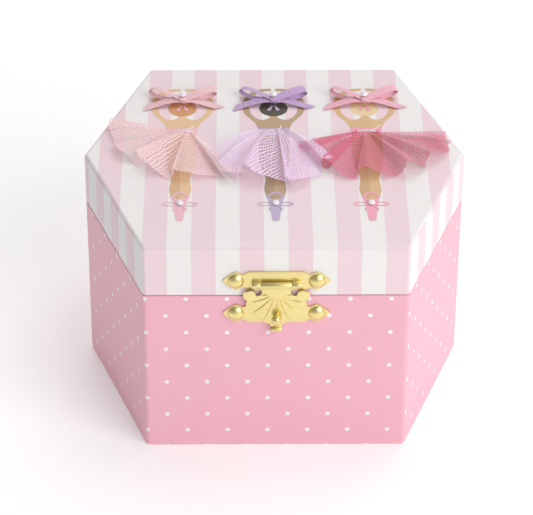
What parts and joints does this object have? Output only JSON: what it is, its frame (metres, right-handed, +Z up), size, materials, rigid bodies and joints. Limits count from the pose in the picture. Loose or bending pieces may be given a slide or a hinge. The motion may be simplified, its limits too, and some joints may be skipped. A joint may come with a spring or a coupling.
{
  "type": "musical jewellery box",
  "caption": "Hexagonal paper-covered jewellery box with a hinged mirrored lid, a toggle clasp, a ring tray and a wind-up movement that turns a sprung dancer.",
  "frame": {"origin": "centre of the flat underside", "axes": "+X to the right seen from the clasp, +Y from the clasp to the hinges, +Z up"},
  "size_m": [0.1438, 0.1508, 0.0953],
  "materials": {
    "case_board": "grey pulp board",
    "dotted_paper": "satin printed, pink with small white dots",
    "plain_paper": "matte",
    "plush_lining": "short flock",
    "velvet": "velvet",
    "gilt_brass": "polished pale gilt",
    "cast_zinc": "as cast",
    "steel": "bright",
    "striped_paper": "satin printed, white and pale pink stripes",
    "mirror_glass": "silvered",
    "satin_strip": "satin",
    "netting_blush": "netting",
    "netting_lilac": "netting",
    "netting_rose": "netting",
    "thread": "cotton",
    "ribbon_blush": "grosgrain",
    "ribbon_lilac": "grosgrain",
    "ribbon_rose": "grosgrain",
    "cut_stone": "foil-backed cut stone",
    "nickel": "plated",
    "movement_brass": "machined",
    "spring_steel": "blued",
    "moulded_white": "moulded",
    "moulded_skin": "painted"
  },
  "bodies": {
    "base": {"base_walls": "case_board", "base_floor": "case_board", "base_wrap": "dotted_paper", "base_bottom_paper": "plain_paper", "base_lining": "plush_lining", "tray_pad": "plush_lining", "partition": "plush_lining", "dividers": "plush_lining", "ring_block": "plush_lining", "ring_rolls": "velvet", "deck": "plush_lining", "catch_plate": "gilt_brass", "catch_nails": "gilt_brass", "hinge_base_leaves": "gilt_brass", "hinge_base_nails": "gilt_brass", "hinge_pins": "gilt_brass", "key_escutcheon": "gilt_brass", "movement_bedplate": "cast_zinc", "mounting_screws": "steel", "cylinder_bearings": "steel", "comb": "steel", "movement_screws": "steel", "governor_frame": "steel", "trip_spring": "spring_steel", "dancer_spring": "spring_steel"},
    "lid": {"lid_top_board": "case_board", "lid_wall_boards": "case_board", "lid_wrap": "striped_paper", "lid_lining": "plush_lining", "mirror": "mirror_glass", "mirror_frame": "satin_strip", "hinge_lid_leaves": "gilt_brass", "hinge_lid_nails": "gilt_brass", "clasp_lid_plate": "gilt_brass", "lid_plate_nails": "gilt_brass", "clasp_pin": "gilt_brass", "tutu_left": "netting_blush", "tutu_middle": "netting_lilac", "tutu_right": "netting_rose", "waist_threads": "thread", "bow_left": "ribbon_blush", "bow_middle": "ribbon_lilac", "bow_right": "ribbon_rose", "gems": "cut_stone"},
    "hasp": {"clasp_hasp": "gilt_brass", "clasp_knob": "gilt_brass"},
    "key": {"winding_key": "nickel", "winding_arbor": "steel"},
    "barrel": {"mainspring_barrel": "movement_brass", "mainspring": "spring_steel"},
    "cylinder": {"music_cylinder": "movement_brass", "cylinder_arbor": "steel", "cylinder_gears": "movement_brass", "turntable": "moulded_white"},
    "governor": {"governor_wheel": "movement_brass"},
    "fan": {"governor_fan": "movement_brass"},
    "trip": {"trip_wire": "steel"},
    "collar": {"dancer_collar": "gilt_brass"},
    "dancer": {"dancer_figure": "moulded_skin", "dancer_tutu": "netting_blush"}
  },
  "joints": [
    {"name": "lid_hinge", "type": "hinge", "parent": "base", "child": "lid", "pos_m": [0, 0.0647, 0.06915], "axis": [-1, 0, 0], "range_deg": [0, 100]},
    {"name": "hasp_hinge", "type": "hinge", "parent": "lid", "child": "hasp", "pos_m": [0, -0.06515, 0.0752], "axis": [-1, 0, 0], "range_deg": [0, 110]},
    {"name": "key_turn", "type": "hinge", "parent": "base", "child": "key", "pos_m": [0, 0.063, 0.0172], "axis": [0, 1, 0], "continuous": true},
    {"name": "barrel_spin", "type": "hinge", "parent": "base", "child": "barrel", "pos_m": [0, 0.0515, 0.0172], "axis": [0, 1, 0], "continuous": true},
    {"name": "cylinder_spin", "type": "hinge", "parent": "base", "child": "cylinder", "pos_m": [0, 0.03945, 0.0172], "axis": [0, 0, 1], "continuous": true},
    {"name": "governor_spin", "type": "hinge", "parent": "base", "child": "governor", "pos_m": [-0.01205, 0.03945, 0.02225], "axis": [0, 0, 1], "continuous": true},
    {"name": "fan_spin", "type": "hinge", "parent": "base", "child": "fan", "pos_m": [-0.01845, 0.03945, 0.02225], "axis": [0, 1, 0], "continuous": true},
    {"name": "trip_slide", "type": "slide", "parent": "base", "child": "trip", "axis": [0, 0, 1], "range_m": [0, 0.0022], "deforming": ["trip_spring"]},
    {"name": "dancer_lean", "type": "hinge", "parent": "base", "child": "collar", "pos_m": [0, 0.03945, 0.04525], "axis": [-1, 0, 0], "range_deg": [0, 45], "deforming": ["dancer_spring"]},
    {"name": "dancer_spin", "type": "hinge", "parent": "collar", "child": "dancer", "pos_m": [0, 0.03945, 0.04525], "axis": [0, -0.7071, 0.7071], "continuous": true}
  ],
  "couplings": [
    {"joint": "cylinder_spin", "follows": "barrel_spin", "ratio": 1.3333},
    {"joint": "governor_spin", "follows": "barrel_spin", "ratio": -5.3333},
    {"joint": "fan_spin", "follows": "barrel_spin", "ratio": -106.67},
    {"joint": "dancer_spin", "follows": "barrel_spin", "ratio": 1.3333},
    {"joint": "dancer_lean", "follows": "lid_hinge", "ratio": 0.45},
    {"joint": "trip_slide", "follows": "lid_hinge", "m_per_rad": 0.00126}
  ]
}
